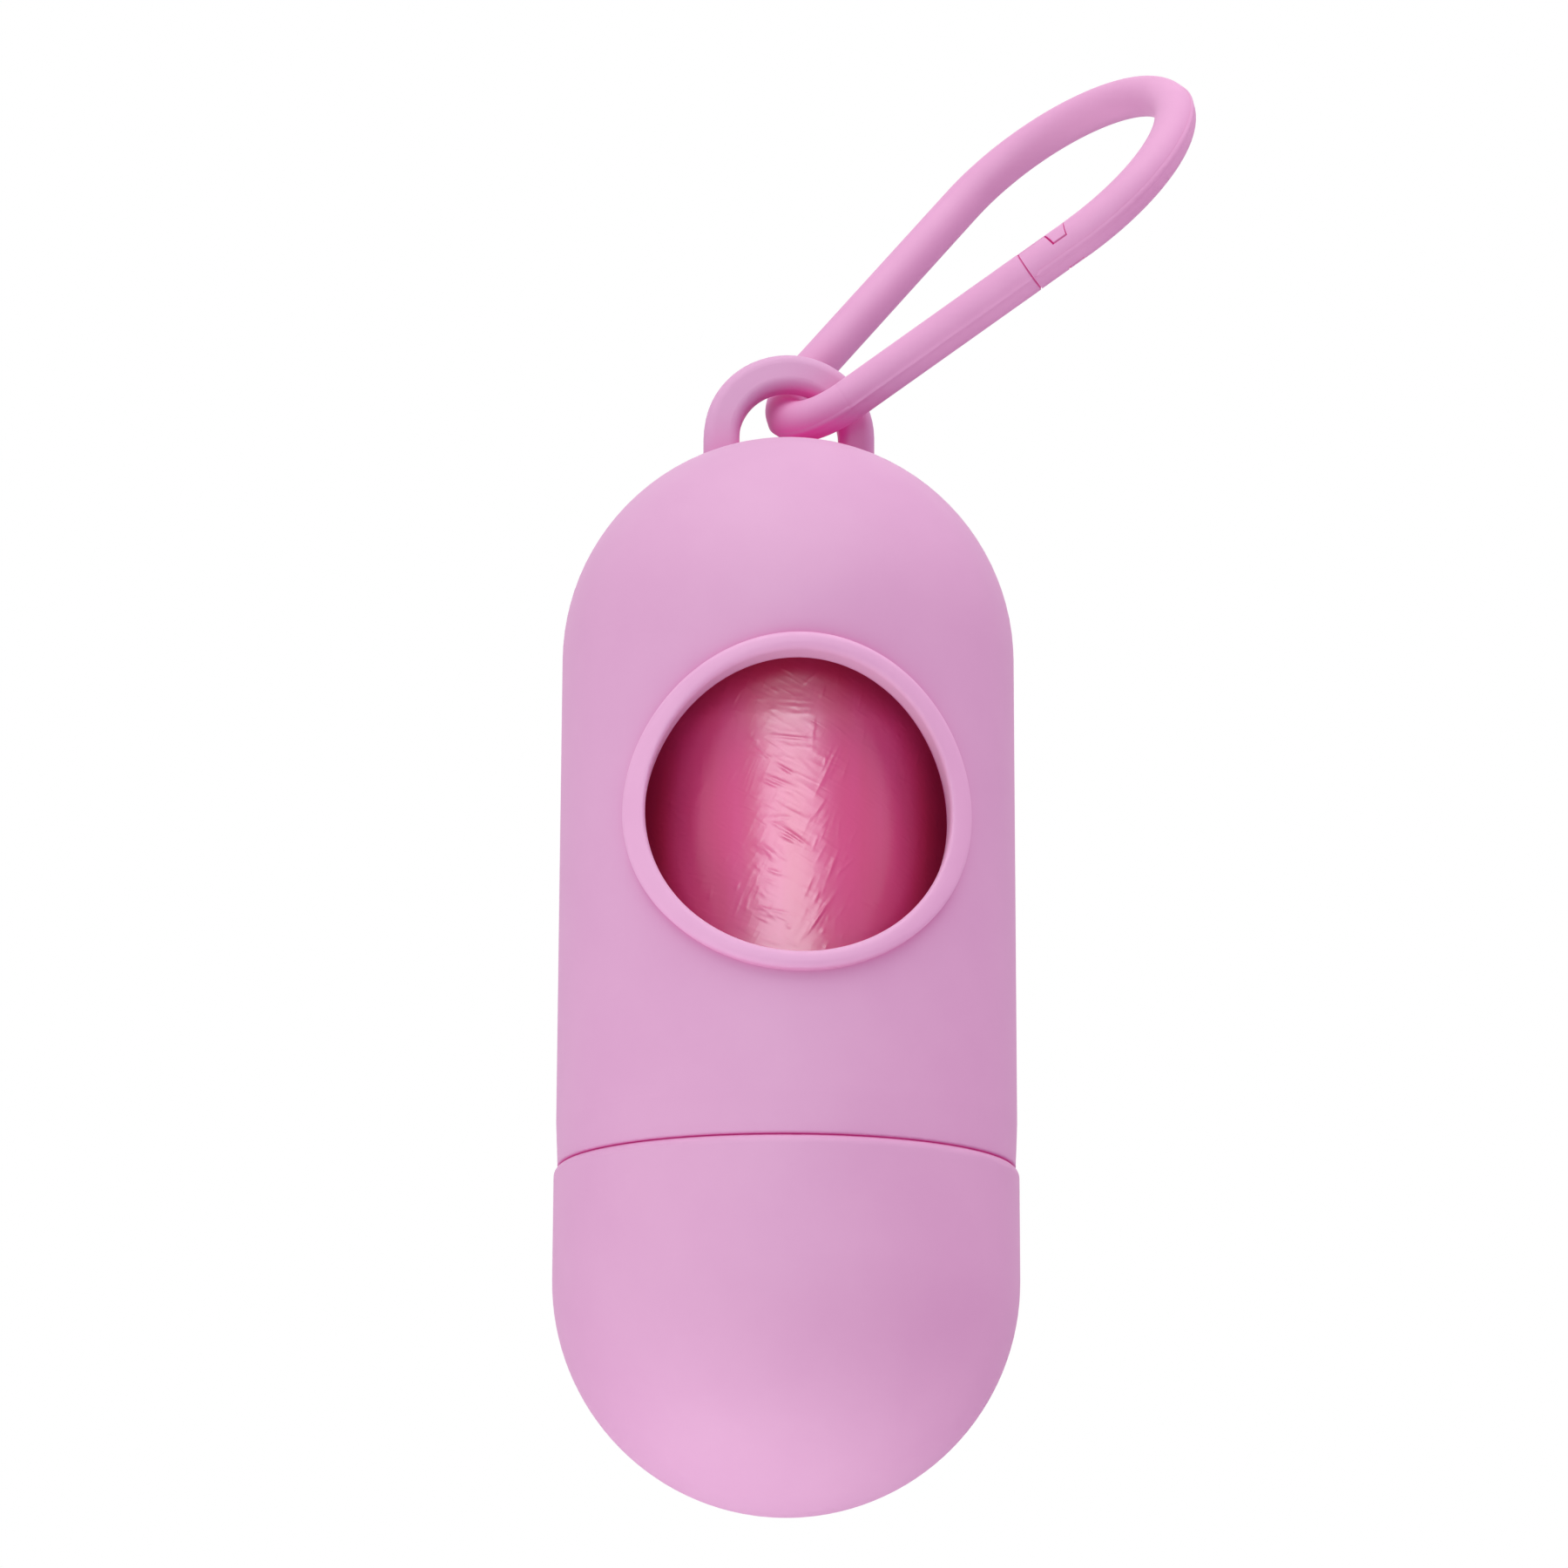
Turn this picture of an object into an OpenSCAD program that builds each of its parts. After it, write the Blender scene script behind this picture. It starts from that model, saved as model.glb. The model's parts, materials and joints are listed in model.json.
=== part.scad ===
// Capsule bag dispenser: a two-part moulded capsule with a round window, holding a
// roll of bags, hung by its moulded loop from a pear-shaped snap clip.
// Millimetres, +Z up, window towards -Y. The origin is the point in the clip's top
// bend where a lead or belt loop bears, so the capsule hangs below it.

/* [Capsule] */
// Outer diameter of the end cap
cap_d = 38; // [34:0.5:44]
// Step from the case out to the cap at the seam, on the radius
cap_proud = 0.15; // [0.05:0.05:0.4]
// Height of the end cap, from its pole to the seam
cap_h = 28.3; // [25:0.1:34]
// Height of the upper case, from the seam to the top of its dome
case_h = 61.5; // [56:0.5:72]
// Wall of the upper case
case_wall = 2.2; // [1.9:0.1:2.4]
// Wall of the end cap
cap_wall = 1.35; // [1.1:0.05:1.5]
// Gap left between the two rims at the seam
seam_gap = 0.15; // [0.1:0.05:0.4]
// Rounding of the cap's rim
cap_edge_r = 0.8; // [0.3:0.1:1]
// How far the case draws in at its lower rim, on the radius
case_edge_in = 0.15; // [0.1:0.05:0.4]
// Height over which the case draws in
case_edge_h = 3.5; // [1:0.5:6]

/* [Neck] */
// Length of the neck that goes down into the cap
neck_h = 7.8; // [5:0.1:8.5]
// Wall of the neck
neck_wall = 1; // [0.8:0.1:1.3]
// Room for the thread between the neck and the cap, on the radius
thread_room = 0.5; // [0.4:0.05:0.7]
// Height of the plain seating band at the neck's root
seat_h = 1.4; // [0.8:0.1:2]
// Clearance of the seating band in the cap, on the radius
seat_gap = 0.12; // [0.08:0.02:0.2]
// Chamfer at the neck's mouth
neck_chamfer = 0.4; // [0.2:0.1:0.7]

/* [Window] */
// Diameter of the window
window_d = 24.5; // [18:0.1:27]
// Height of the window's centre above the seam
window_z = 26.5; // [20:0.1:32]
// Width of the moulded bead round the window
bead_w = 1.5; // [1.2:0.05:2.6]
// How far the bead stands out of the case
bead_proud = 0.9; // [0.4:0.1:1.2]

/* [Hanging loop] */
// Radius of the loop's hole
loop_hole_r = 4.2; // [4.2:0.1:5]
// Thickness of the loop's band, on the radius
loop_band = 3; // [2.4:0.1:3.6]
// Depth of the loop, front to back
loop_depth = 3; // [2.2:0.1:3.2]
// Rounding of the loop's edges
loop_edge_r = 0.9; // [0.4:0.1:1]
// Height of the loop's centre above the top of the dome
loop_rise = 0.7; // [0.6:0.1:2]

/* [Snap clip] */
// Diameter of the clip's round section
wire_d = 3.5; // [3:0.1:3.6]
// Centre-line radius of the clip's narrow bend, which runs through the loop
bend_r = 5.8; // [5.6:0.1:7]
// Centre-line radius of the clip's wide bend
top_r = 12.8; // [10:0.1:15]
// Distance between the centres of the two bends
bend_span = 24; // [22:0.5:32]
// Where the gate pivots, measured up the gate-side arm
gate_root = 1.6; // [1.4:0.1:3]
// Length of the gate, from its pivot to its end face
gate_len = 16.6; // [13:0.1:17]
// Gap between the gate's end and the nose
gate_gap = 0.25; // [0.2:0.05:0.4]
// Clearance of the gate's round root in its seat
root_gap = 0.15; // [0.1:0.05:0.3]
// Length of the latch's neck, from the gate's end to its head
latch_neck = 2.4; // [1.8:0.1:2.8]
// Length of the latch's head along the arm
latch_head = 2.35; // [2:0.05:2.6]
// Lean of the sides of the latch's head, as run over rise
latch_lean = 0.22; // [0.1:0.02:0.3]
// Clearance all round the latch in its slot
latch_gap = 0.2; // [0.15:0.05:0.3]

/* [Clip as it lies] */
// Slope of the clip's long axis above the horizontal
clip_rise = 42.3; // [35:0.1:50]
// Turn of the clip's long axis about the vertical
clip_turn = -5.9; // [-12:0.1:0]
// Roll of the clip about its long axis
clip_roll = -144.6; // [-155:0.1:-140]
// Clearance between the clip and the top of the loop's hole
hang_gap = 0.45; // [0.4:0.05:0.6]
// Offset of the clip's bend to the right of the loop's centre
hang_x = 0.25; // [0:0.05:0.5]
// Offset of the clip's bend behind the loop's centre
hang_y = 1.05; // [0.9:0.05:1.3]

/* [Bag roll] */
// Room round the wound bags in the neck, on the radius
roll_room = 1.15; // [0.6:0.05:3]
// Width of the wound bags
roll_h = 60; // [50:0.5:66]
// Outer diameter of the paper core
core_d = 13; // [10:0.5:16]
// Wall of the paper core
core_wall = 1.3; // [0.8:0.1:2]
// How far the core stands out of the wound bags at each end
core_proud = 0.5; // [0:0.1:1]
// Clearance between the core and the wound bags, on the radius
core_gap = 0.05; // [0.02:0.01:0.1]
// Clearance between the roll and the cap that it stands in
roll_gap = 0.3; // [0.2:0.05:0.5]
// Rounding of the roll's outer edges
roll_edge_r = 0.6; // [0.2:0.1:1.5]

/* [Hidden] */
$fn = 96;

shell_pink = "#dba2cd";
clip_pink = "#dd9fca";
film_pink = "#c94a7c";
core_brown = "#b99c78";

over = 1;    // how far a cutter runs past what it cuts
weld = 0.1;    // how far an arm runs into the bends at its ends
weld_slim = 0.002;    // how much slimmer it is, to stay inside them
bead_steps = 4;

cap_r = cap_d / 2;
cap_in_r = cap_r - cap_wall;
case_r = cap_r - cap_proud;
case_in_r = case_r - case_wall;
neck_r = cap_in_r - thread_room;
neck_in_r = neck_r - neck_wall;
dome_z = cap_h + case_h - case_r;    // centre of the case's dome
window_r = window_d / 2;
window_at = cap_h + window_z;

wire_r = wire_d / 2;
loop_out_r = loop_hole_r + loop_band;
loop_z = cap_h + case_h + loop_rise;
loop_foot_z = dome_z + sqrt(pow(case_in_r, 2) - pow(loop_hole_r, 2));

roll_r = neck_in_r - roll_room;
core_r = core_d / 2;
roll_z = cap_r - sqrt(pow(cap_in_r - roll_gap, 2) - pow(roll_r, 2));

// The clip lies in its own plane: the narrow bend's centre is its origin, +X runs
// to the wide bend, and +Y is the gate's side.
arm_angle = asin((top_r - bend_r) / bend_span);
arm_len = sqrt(pow(bend_span, 2) - pow(top_r - bend_r, 2));
wrap = 90 + arm_angle;    // where each bend meets its arms, from the long axis
gate_at = [bend_r * cos(wrap) + gate_root * cos(arm_angle),
           bend_r * sin(wrap) + gate_root * sin(arm_angle), 0];

function turn_x(v, a) = [v.x, v.y * cos(a) - v.z * sin(a), v.y * sin(a) + v.z * cos(a)];
function turn_y(v, a) = [v.x * cos(a) + v.z * sin(a), v.y, v.z * cos(a) - v.x * sin(a)];
function turn_z(v, a) = [v.x * cos(a) - v.y * sin(a), v.x * sin(a) + v.y * cos(a), v.z];
function clip_vector(v) = turn_z(turn_y(turn_x(v, clip_roll), -clip_rise), clip_turn);

// Places in the capsule's own frame: its axis is Z and the cap's pole is z = 0
hang_point = [hang_x, hang_y, loop_z + loop_hole_r - wire_r - hang_gap];
clip_origin = hang_point + clip_vector([bend_r, 0, 0]);
eye_point = clip_origin + clip_vector([bend_span + top_r - wire_r, 0, 0]);

module in_capsule() {
    translate(-eye_point) children();
}

module in_clip() {
    translate(clip_origin - eye_point)
        rotate([clip_roll, -clip_rise, clip_turn]) children();
}

module in_gate() {
    translate(gate_at) rotate(arm_angle) children();
}

// Half a capsule's outline: straight from z0 up to zc, then a quarter circle
module dome_outline(r, z0, zc) {
    translate([0, z0]) square([r, zc - z0]);
    translate([0, zc]) intersection() {
        circle(r);
        square(r);
    }
}

module window_cylinder(r) {
    translate([0, 0, window_at]) rotate([90, 0, 0]) cylinder(r = r, h = cap_d);
}

// The bead follows the case's wall. Its section is built up in rings that lie inside
// half an ellipse.
module window_bead() {
    for (i = [1 : bead_steps]) {
        slope = 90 * i / (bead_steps + 1);
        inset = bead_w / 2 * (1 - cos(slope));
        rise = bead_proud * sin(slope);
        intersection() {
            difference() {
                window_cylinder(window_r + bead_w - inset);
                window_cylinder(window_r + inset);
            }
            translate([0, 0, window_at - window_d])
                cylinder(r = case_r + rise, h = 2 * window_d);
        }
    }
}

module rounded_bar(w, d, r) {
    square([w - 2 * r, d], center = true);
    square([w, d - 2 * r], center = true);
    for (sx = [-1, 1], sy = [-1, 1])
        translate([sx * (w / 2 - r), sy * (d / 2 - r)]) circle(r, $fn = 32);
}

module hanging_loop() {
    mid_r = loop_hole_r + loop_band / 2;
    translate([0, 0, loop_z]) rotate([90, 0, 0]) rotate_extrude(angle = 180)
        translate([mid_r, 0]) rounded_bar(loop_band, loop_depth, loop_edge_r);
    for (side = [-1, 1])
        translate([side * mid_r, 0, loop_foot_z]) linear_extrude(loop_z - loop_foot_z)
            rounded_bar(loop_band, loop_depth, loop_edge_r);
}

module case_outline() {
    difference() {
        dome_outline(case_r, cap_h, dome_z);
        polygon([
            [case_r - case_edge_in, cap_h],
            [case_r, cap_h + case_edge_h],
            [case_r + over, cap_h + case_edge_h],
            [case_r + over, cap_h - over],
            [case_r - case_edge_in, cap_h - over],
        ]);
    }
}

module neck_outline() {
    mouth_z = cap_h - neck_h;
    polygon([
        [0, mouth_z],
        [neck_r - neck_chamfer, mouth_z],
        [neck_r, mouth_z + neck_chamfer],
        [neck_r, cap_h - seat_h],
        [cap_in_r - seat_gap, cap_h - seat_h],
        [cap_in_r - seat_gap, cap_h + over],
        [0, cap_h + over],
    ]);
}

module case_hollow() {
    rotate_extrude() dome_outline(case_in_r, cap_h + case_edge_h, dome_z);
    translate([0, 0, cap_h - neck_h - over])
        cylinder(r = neck_in_r, h = neck_h + case_edge_h + 2 * over);
}

module upper_case() color(shell_pink) in_capsule() difference() {
    union() {
        rotate_extrude() case_outline();
        rotate_extrude() neck_outline();
        window_bead();
        hanging_loop();
    }
    case_hollow();
    window_cylinder(window_r);
}

// The cap is a bowl with a rounded rim
module end_cap() color(shell_pink) in_capsule() rotate_extrude() {
    rim_z = cap_h - seam_gap;
    difference() {
        union() {
            translate([0, cap_r]) intersection() {
                circle(cap_r);
                translate([0, -cap_r]) square(cap_r);
            }
            translate([0, cap_r]) square([cap_r, rim_z - cap_r - cap_edge_r]);
            translate([0, rim_z - cap_edge_r - over])
                square([cap_r - cap_edge_r, cap_edge_r + over]);
            translate([cap_r - cap_edge_r, rim_z - cap_edge_r]) circle(cap_edge_r, $fn = 48);
        }
        translate([0, cap_r]) intersection() {
            circle(cap_in_r);
            translate([0, -cap_r]) square(cap_r);
        }
        translate([0, cap_r - over / 10]) square([cap_in_r, cap_h]);
    }
}

// Latch in side view: a neck along the inner side and a deeper head whose sides lean
// in. Grown by gap, the same outline is the slot, which stays open on the inner side.
module latch_outline(gap, inner) {
    neck_top = -wire_r / 5 + gap;
    head_top = wire_r * 0.6 + gap;
    head_x = gate_gap + latch_neck - gap;
    head_end = head_x + latch_head + 2 * gap;
    foot_lean = latch_lean * (wire_r - inner);
    top_lean = latch_lean * (wire_r + head_top);
    translate([-over, -inner]) square([head_x + 2 * over, inner + neck_top]);
    polygon([
        [head_x + foot_lean, -inner],
        [head_x + top_lean, head_top],
        [head_end - top_lean, head_top],
        [head_end - foot_lean, -inner],
    ]);
}

module arm_rod(len, r = wire_r) {
    rotate([0, 90, 0]) cylinder(r = r, h = len);
}

module clip_ring() {
    rotate(wrap) rotate_extrude(angle = 360 - 2 * wrap)
        translate([bend_r, 0]) circle(wire_r);
    translate([bend_span, 0, 0]) rotate(-wrap) rotate_extrude(angle = 2 * wrap)
        translate([top_r, 0]) circle(wire_r);
    for (side = [-1, 1])
        translate([bend_r * cos(wrap), side * bend_r * sin(wrap), 0])
            rotate(side * arm_angle) translate([-weld, 0, 0])
                arm_rod(arm_len + 2 * weld, wire_r - weld_slim);
}

module clip_frame() color(clip_pink) in_clip() difference() {
    clip_ring();
    in_gate() {
        cylinder(r = wire_r + root_gap, h = wire_d + 2 * over, center = true);
        translate([0, -wire_r - over, -wire_r - over])
            cube([gate_len + gate_gap, wire_d + 2 * over, wire_d + 2 * over]);
        translate([gate_len, 0, -wire_r - over]) linear_extrude(wire_d + 2 * over)
            latch_outline(latch_gap, wire_r + over);
    }
}

module clip_gate() color(clip_pink) in_clip() in_gate() {
    intersection() {
        translate([-wire_r, 0, 0]) arm_rod(wire_r + gate_len);
        union() {
            cylinder(r = wire_r, h = wire_d, center = true);
            translate([0, -wire_r, -wire_r]) cube([gate_len, wire_d, wire_d]);
        }
    }
    intersection() {
        translate([gate_len - over, 0, 0]) arm_rod(arm_len);
        translate([gate_len, 0, -wire_r]) linear_extrude(wire_d) latch_outline(0, wire_r);
    }
}

module roll_core() color(core_brown) in_capsule()
    translate([0, 0, roll_z - core_proud]) difference() {
        cylinder(r = core_r, h = roll_h + 2 * core_proud);
        translate([0, 0, -over]) cylinder(r = core_r - core_wall, h = roll_h + 2 * core_proud + 2 * over);
    }

module bag_roll() color(film_pink) in_capsule() translate([0, 0, roll_z]) rotate_extrude() {
    bore_r = core_r + core_gap;
    translate([bore_r, 0]) square([roll_r - roll_edge_r - bore_r, roll_h]);
    translate([bore_r, roll_edge_r]) square([roll_r - bore_r, roll_h - 2 * roll_edge_r]);
    for (z = [roll_edge_r, roll_h - roll_edge_r])
        translate([roll_r - roll_edge_r, z]) circle(roll_edge_r, $fn = 32);
}

upper_case();
end_cap();
clip_frame();
clip_gate();
roll_core();
bag_roll();
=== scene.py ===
import json
import bmesh
import bpy
import numpy as np
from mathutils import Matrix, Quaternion, Vector


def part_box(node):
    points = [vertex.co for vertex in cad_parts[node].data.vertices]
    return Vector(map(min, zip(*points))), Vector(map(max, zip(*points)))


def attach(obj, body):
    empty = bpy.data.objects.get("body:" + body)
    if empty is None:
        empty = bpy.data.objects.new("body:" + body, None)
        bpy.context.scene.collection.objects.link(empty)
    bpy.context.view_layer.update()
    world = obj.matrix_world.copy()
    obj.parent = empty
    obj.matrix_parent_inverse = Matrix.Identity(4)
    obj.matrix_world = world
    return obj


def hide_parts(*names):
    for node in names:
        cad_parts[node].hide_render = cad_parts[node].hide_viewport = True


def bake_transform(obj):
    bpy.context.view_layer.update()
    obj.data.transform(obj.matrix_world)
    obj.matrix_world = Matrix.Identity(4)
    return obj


# A dispenser for dog waste bags. The solids come from the frame; the softer and finer pieces are
# made here.
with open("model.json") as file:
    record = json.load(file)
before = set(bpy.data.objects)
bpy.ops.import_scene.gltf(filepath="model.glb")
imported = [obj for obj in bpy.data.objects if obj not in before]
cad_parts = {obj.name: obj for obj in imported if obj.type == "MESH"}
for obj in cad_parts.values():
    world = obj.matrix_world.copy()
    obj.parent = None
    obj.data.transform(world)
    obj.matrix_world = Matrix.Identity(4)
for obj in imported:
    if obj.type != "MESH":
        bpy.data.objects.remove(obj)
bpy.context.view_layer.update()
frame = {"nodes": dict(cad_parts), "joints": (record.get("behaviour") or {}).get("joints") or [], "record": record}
mm = 0.001
print("frame loaded")


# Places read from the frame, in millimetres

def boxOf(node):
    # Lowest and highest corner of a solid
    low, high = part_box(node)
    return np.array(low) / mm, np.array(high) / mm


def jointNamed(name):
    # The joint's entry in the frame
    return [joint for joint in frame["joints"] if joint["name"] == name][0]


capLow, capHigh = boxOf("end_cap")
caseHigh = boxOf("upper_case")[1]
rollLow, rollHigh = boxOf("bag_roll")

pole = np.array([(capLow[0] + capHigh[0]) / 2, (capLow[1] + capHigh[1]) / 2, capLow[2]])
caseRadius = caseHigh[0] - pole[0]
rimHeight = capHigh[2] - pole[2]    # the cap's rim above its pole
rollRadius = (rollHigh[0] - rollLow[0]) / 2

clipAxis = np.array(frame["record"]["mounts"][0]["axis"])    # along the clip, narrow end to wide end
clipNormal = -np.array(jointNamed("gate_flex")["axis"])
clipSide = np.cross(clipNormal, clipAxis)    # towards the gate


def fromCapsule(points):
    # Capsule coordinates have the cap's pole at their origin and the capsule's axis as z
    return (points + pole) * mm


# Meshes: a surface is a grid of points, worked out as whole arrays

around = 240    # columns of a surface that goes round the capsule or the window


def addSurface(name, grid, wrapRows=False, wrapColumns=False, sharpAngle=40):
    # Quads join each point of the grid to its neighbours, and wrap round where the surface closes
    # on itself. Points that fall together, as at a pole, are merged, and faces turned outward.
    rows, columns = grid.shape[:2]
    i = np.arange(rows if wrapRows else rows - 1)[:, None]
    j = np.arange(columns if wrapColumns else columns - 1)[None, :]
    nextI, nextJ = (i + 1) % rows, (j + 1) % columns
    corners = [i * columns + j, i * columns + nextJ, nextI * columns + nextJ, nextI * columns + j]
    quads = np.stack(np.broadcast_arrays(*corners), -1).reshape(-1, 4)
    mesh = bpy.data.meshes.new(name)
    mesh.from_pydata(grid.reshape(-1, 3).tolist(), [], quads.tolist())
    piece = bpy.data.objects.new(name, mesh)
    bpy.context.scene.collection.objects.link(piece)
    tidyMesh(mesh, sharpAngle)
    return piece


def tidyMesh(mesh, sharpAngle):
    # Merges doubled points, turns the faces outward, and shades smooth up to the sharp angle
    work = bmesh.new()
    work.from_mesh(mesh)
    bmesh.ops.remove_doubles(work, verts=work.verts, dist=1e-7)
    bmesh.ops.dissolve_degenerate(work, edges=work.edges, dist=1e-8)
    bmesh.ops.recalc_face_normals(work, faces=work.faces)
    work.to_mesh(mesh)
    work.free()
    mesh.shade_smooth()
    mesh.set_sharp_from_angle(angle=np.radians(sharpAngle))


def smoothStep(x):
    # 3x^2 - 2x^3 between 0 and 1, level outside
    x = np.clip(x, 0, 1)
    return x * x * (3 - 2 * x)


def closedEnds(grid, first, last):
    # A ring shrunk to one point before the first ring and after the last one
    return np.concatenate([np.broadcast_to(first, grid[:1].shape), grid,
                           np.broadcast_to(last, grid[:1].shape)])


# Camera, before the pieces

camera = {
    "place": (-22.7, -399.35, -33.97),    # from the cap's pole, mm
    "turn": 0.056,    # radians to the right of +Y
    "rise": 0.232,    # radians above the horizontal
    "roll": 0.0033,    # clockwise, radians
    "lens": 113.45,    # mm, as is the sensor
    "sensor": 36.0,
    "sees": (0.01, 40),    # nearest and farthest, m
}


def makeCamera(v):
    # It looks from its place along (sin t cos r, cos t cos r, sin r), with t its turn and r its rise
    data = bpy.data.cameras.new("camera")
    data.lens, data.sensor_width = v["lens"], v["sensor"]
    data.clip_start, data.clip_end = v["sees"]
    eye = bpy.data.objects.new("camera", data)
    bpy.context.scene.collection.objects.link(eye)
    eye.location = fromCapsule(np.array(v["place"]))
    turn, rise = v["turn"], v["rise"]
    ahead = Vector((np.sin(turn) * np.cos(rise), np.cos(turn) * np.cos(rise), np.sin(rise)))
    eye.rotation_mode = "QUATERNION"
    eye.rotation_quaternion = ahead.to_track_quat("-Z", "Y") @ Quaternion((0, 0, 1), v["roll"])
    bpy.context.scene.camera = eye


makeCamera(camera)
print("camera made")


# Materials

def linear(code):
    # sRGB hex to linear, each channel through the sRGB curve
    channels = np.array([int(code[k:k + 2], 16) for k in (1, 3, 5)]) / 255
    low, high = channels / 12.92, ((channels + 0.055) / 1.055) ** 2.4
    return (*np.where(channels <= 0.04045, low, high), 1.0)


def addNode(tree, kind, links=(), **settings):
    # Adds a node. Settings whose names are sockets set those sockets, the others set the node
    # itself; links are (input, source socket) pairs.
    node = tree.nodes.new("ShaderNode" + kind)
    for key, value in settings.items():
        socket = key.replace("_", " ")
        if socket in node.inputs:
            node.inputs[socket].default_value = value
        else:
            setattr(node, key, value)
    for key, source in links:
        tree.links.new(node.inputs[key], source)
    return node


def newMaterial(name):
    # An empty material and its node tree
    material = bpy.data.materials.new(name)
    material.use_nodes = True
    material.node_tree.nodes.clear()
    return material, material.node_tree


def perMillimetre(size):
    # Noise scale for features of that size in millimetres, on coordinates in metres
    return 1000 / size


casePlastic = {    # polypropylene
    "pale": "#d0acc5",
    "deep": "#cda7c2",
    "mottle": 9.0,    # size of the clouding, mm
    "paintedHollowColour": "#cc479a",    # painted shade: the colour painted into hollows and joints, and the colour of their painted glow
    "glow": 0.22,    # strength of the painted glow, an emission, in the deepest of them
    "reach": 4.0,    # how near each other two walls have to be for that, mm
    "grain": 0.35,    # spark-eroded mould texture, mm, drawn coarser than its real 0.05 to show
    "grainDepth": 0.0024,    # and its depth, mm
}

beadPlastic = {    # the same plastic, painted paler for the light that the raised bead catches
    "pale": "#dbb6ce",
    "deep": "#d8b1cb",
    "mottle": 9.0,
    "paintedHollowColour": "#c84f95",
    "glow": 0.1,
    "reach": 2.0,
    "grain": 0.35,
    "grainDepth": 0.0024,
}

clipPlastic = {    # acetal, from a finer mould
    "pale": "#d6a9c6",
    "deep": "#d2a4c2",
    "mottle": 7.0,
    "paintedHollowColour": "#cc4496",
    "glow": 0.3,
    "reach": 6.0,
    "grain": 0.3,
    "grainDepth": 0.0008,
}


def mouldedPlastic(name, values):
    # Injection-moulded polypropylene or acetal from a spark-eroded mould: a soft matte pink with
    # faint clouding and a very fine grain that breaks up the highlight. Such walls let some light
    # through, which fills hollows with magenta. No light goes through them here: the hollows get
    # painted shade, a magenta tint, and the deepest ones get a painted glow, an emission though they
    # are no lamp.
    material, tree = newMaterial(name)
    place = addNode(tree, "TexCoord").outputs["Object"]
    clouds = addNode(tree, "TexNoise", [("Vector", place)],
                     Scale=perMillimetre(values["mottle"]), Detail=3.0, Roughness=0.55)
    spread = addNode(tree, "MapRange", [("Value", clouds.outputs["Fac"])],
                     From_Min=0.3, From_Max=0.7)
    tint = addNode(tree, "Mix", [("Factor", spread.outputs["Result"])], data_type="RGBA")
    tint.inputs["A"].default_value = linear(values["deep"])
    tint.inputs["B"].default_value = linear(values["pale"])
    # painted shade: where ambient occlusion finds walls near each other, the colour turns to the painted hollow
    # colour
    hollows = addNode(tree, "AmbientOcclusion", samples=8, Distance=values["reach"] * mm)
    tint = addNode(tree, "Mix", [("Factor", hollows.outputs["AO"]), ("B", tint.outputs["Result"])],
                   data_type="RGBA")
    tint.inputs["A"].default_value = linear(values["paintedHollowColour"])
    grain = addNode(tree, "TexNoise", [("Vector", place)],
                    Scale=perMillimetre(values["grain"]), Detail=2.0, Roughness=0.6)
    bump = addNode(tree, "Bump", [("Height", grain.outputs["Fac"])],
                   Strength=1.0, Distance=values["grainDepth"] * mm)
    # painted glow: none where more than 0.6 of the surroundings is open, the full one below 0.1
    glow = addNode(tree, "MapRange", [("Value", hollows.outputs["AO"])],
                   From_Min=0.6, From_Max=0.1, To_Min=0.0, To_Max=values["glow"])
    shader = addNode(tree, "BsdfPrincipled",
                     [("Base Color", tint.outputs["Result"]), ("Normal", bump.outputs["Normal"]),
                      ("Emission Strength", glow.outputs["Result"])],
                     Emission_Color=linear(values["paintedHollowColour"]),
                     Roughness=0.6, IOR=1.49, Specular_IOR_Level=0.5)
    addNode(tree, "OutputMaterial", [("Surface", shader.outputs["BSDF"])])
    return material


bagFilm = {
    "pale": "#cc4282",
    # deep: the film's pink in the painted shade, and in the darker draw lines
    "deep": "#b4263c",
    "streak": 2.5,    # spacing of the draw lines of the blown film, mm
    "streakScale": 0.12,    # noise scale along them, against the one across
    "sideShade": 8.0,    # painted shade: how far behind the roll's front the sides, which the case shades, are painted deepest, mm
    "back": (10.0, 15.0),    # and where the paler back begins and is full, mm
    "backShare": 0.8,    # how much of the pale colour the back has
    "topShade": (60.5, 67.5),    # painted shade: heights above the cap's pole between which it deepens to the top, under the window's upper edge, mm
    "endShare": 0.3,    # how much of the pale colour is left there
    "crinkle": 0.55,    # width of the fine crinkles, mm
    "foldLength": 5.0,    # and their length, in widths
    "folds": ((-60, 0.022), (26, 0.014)),    # lean from the vertical in degrees, depth in mm
}


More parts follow.
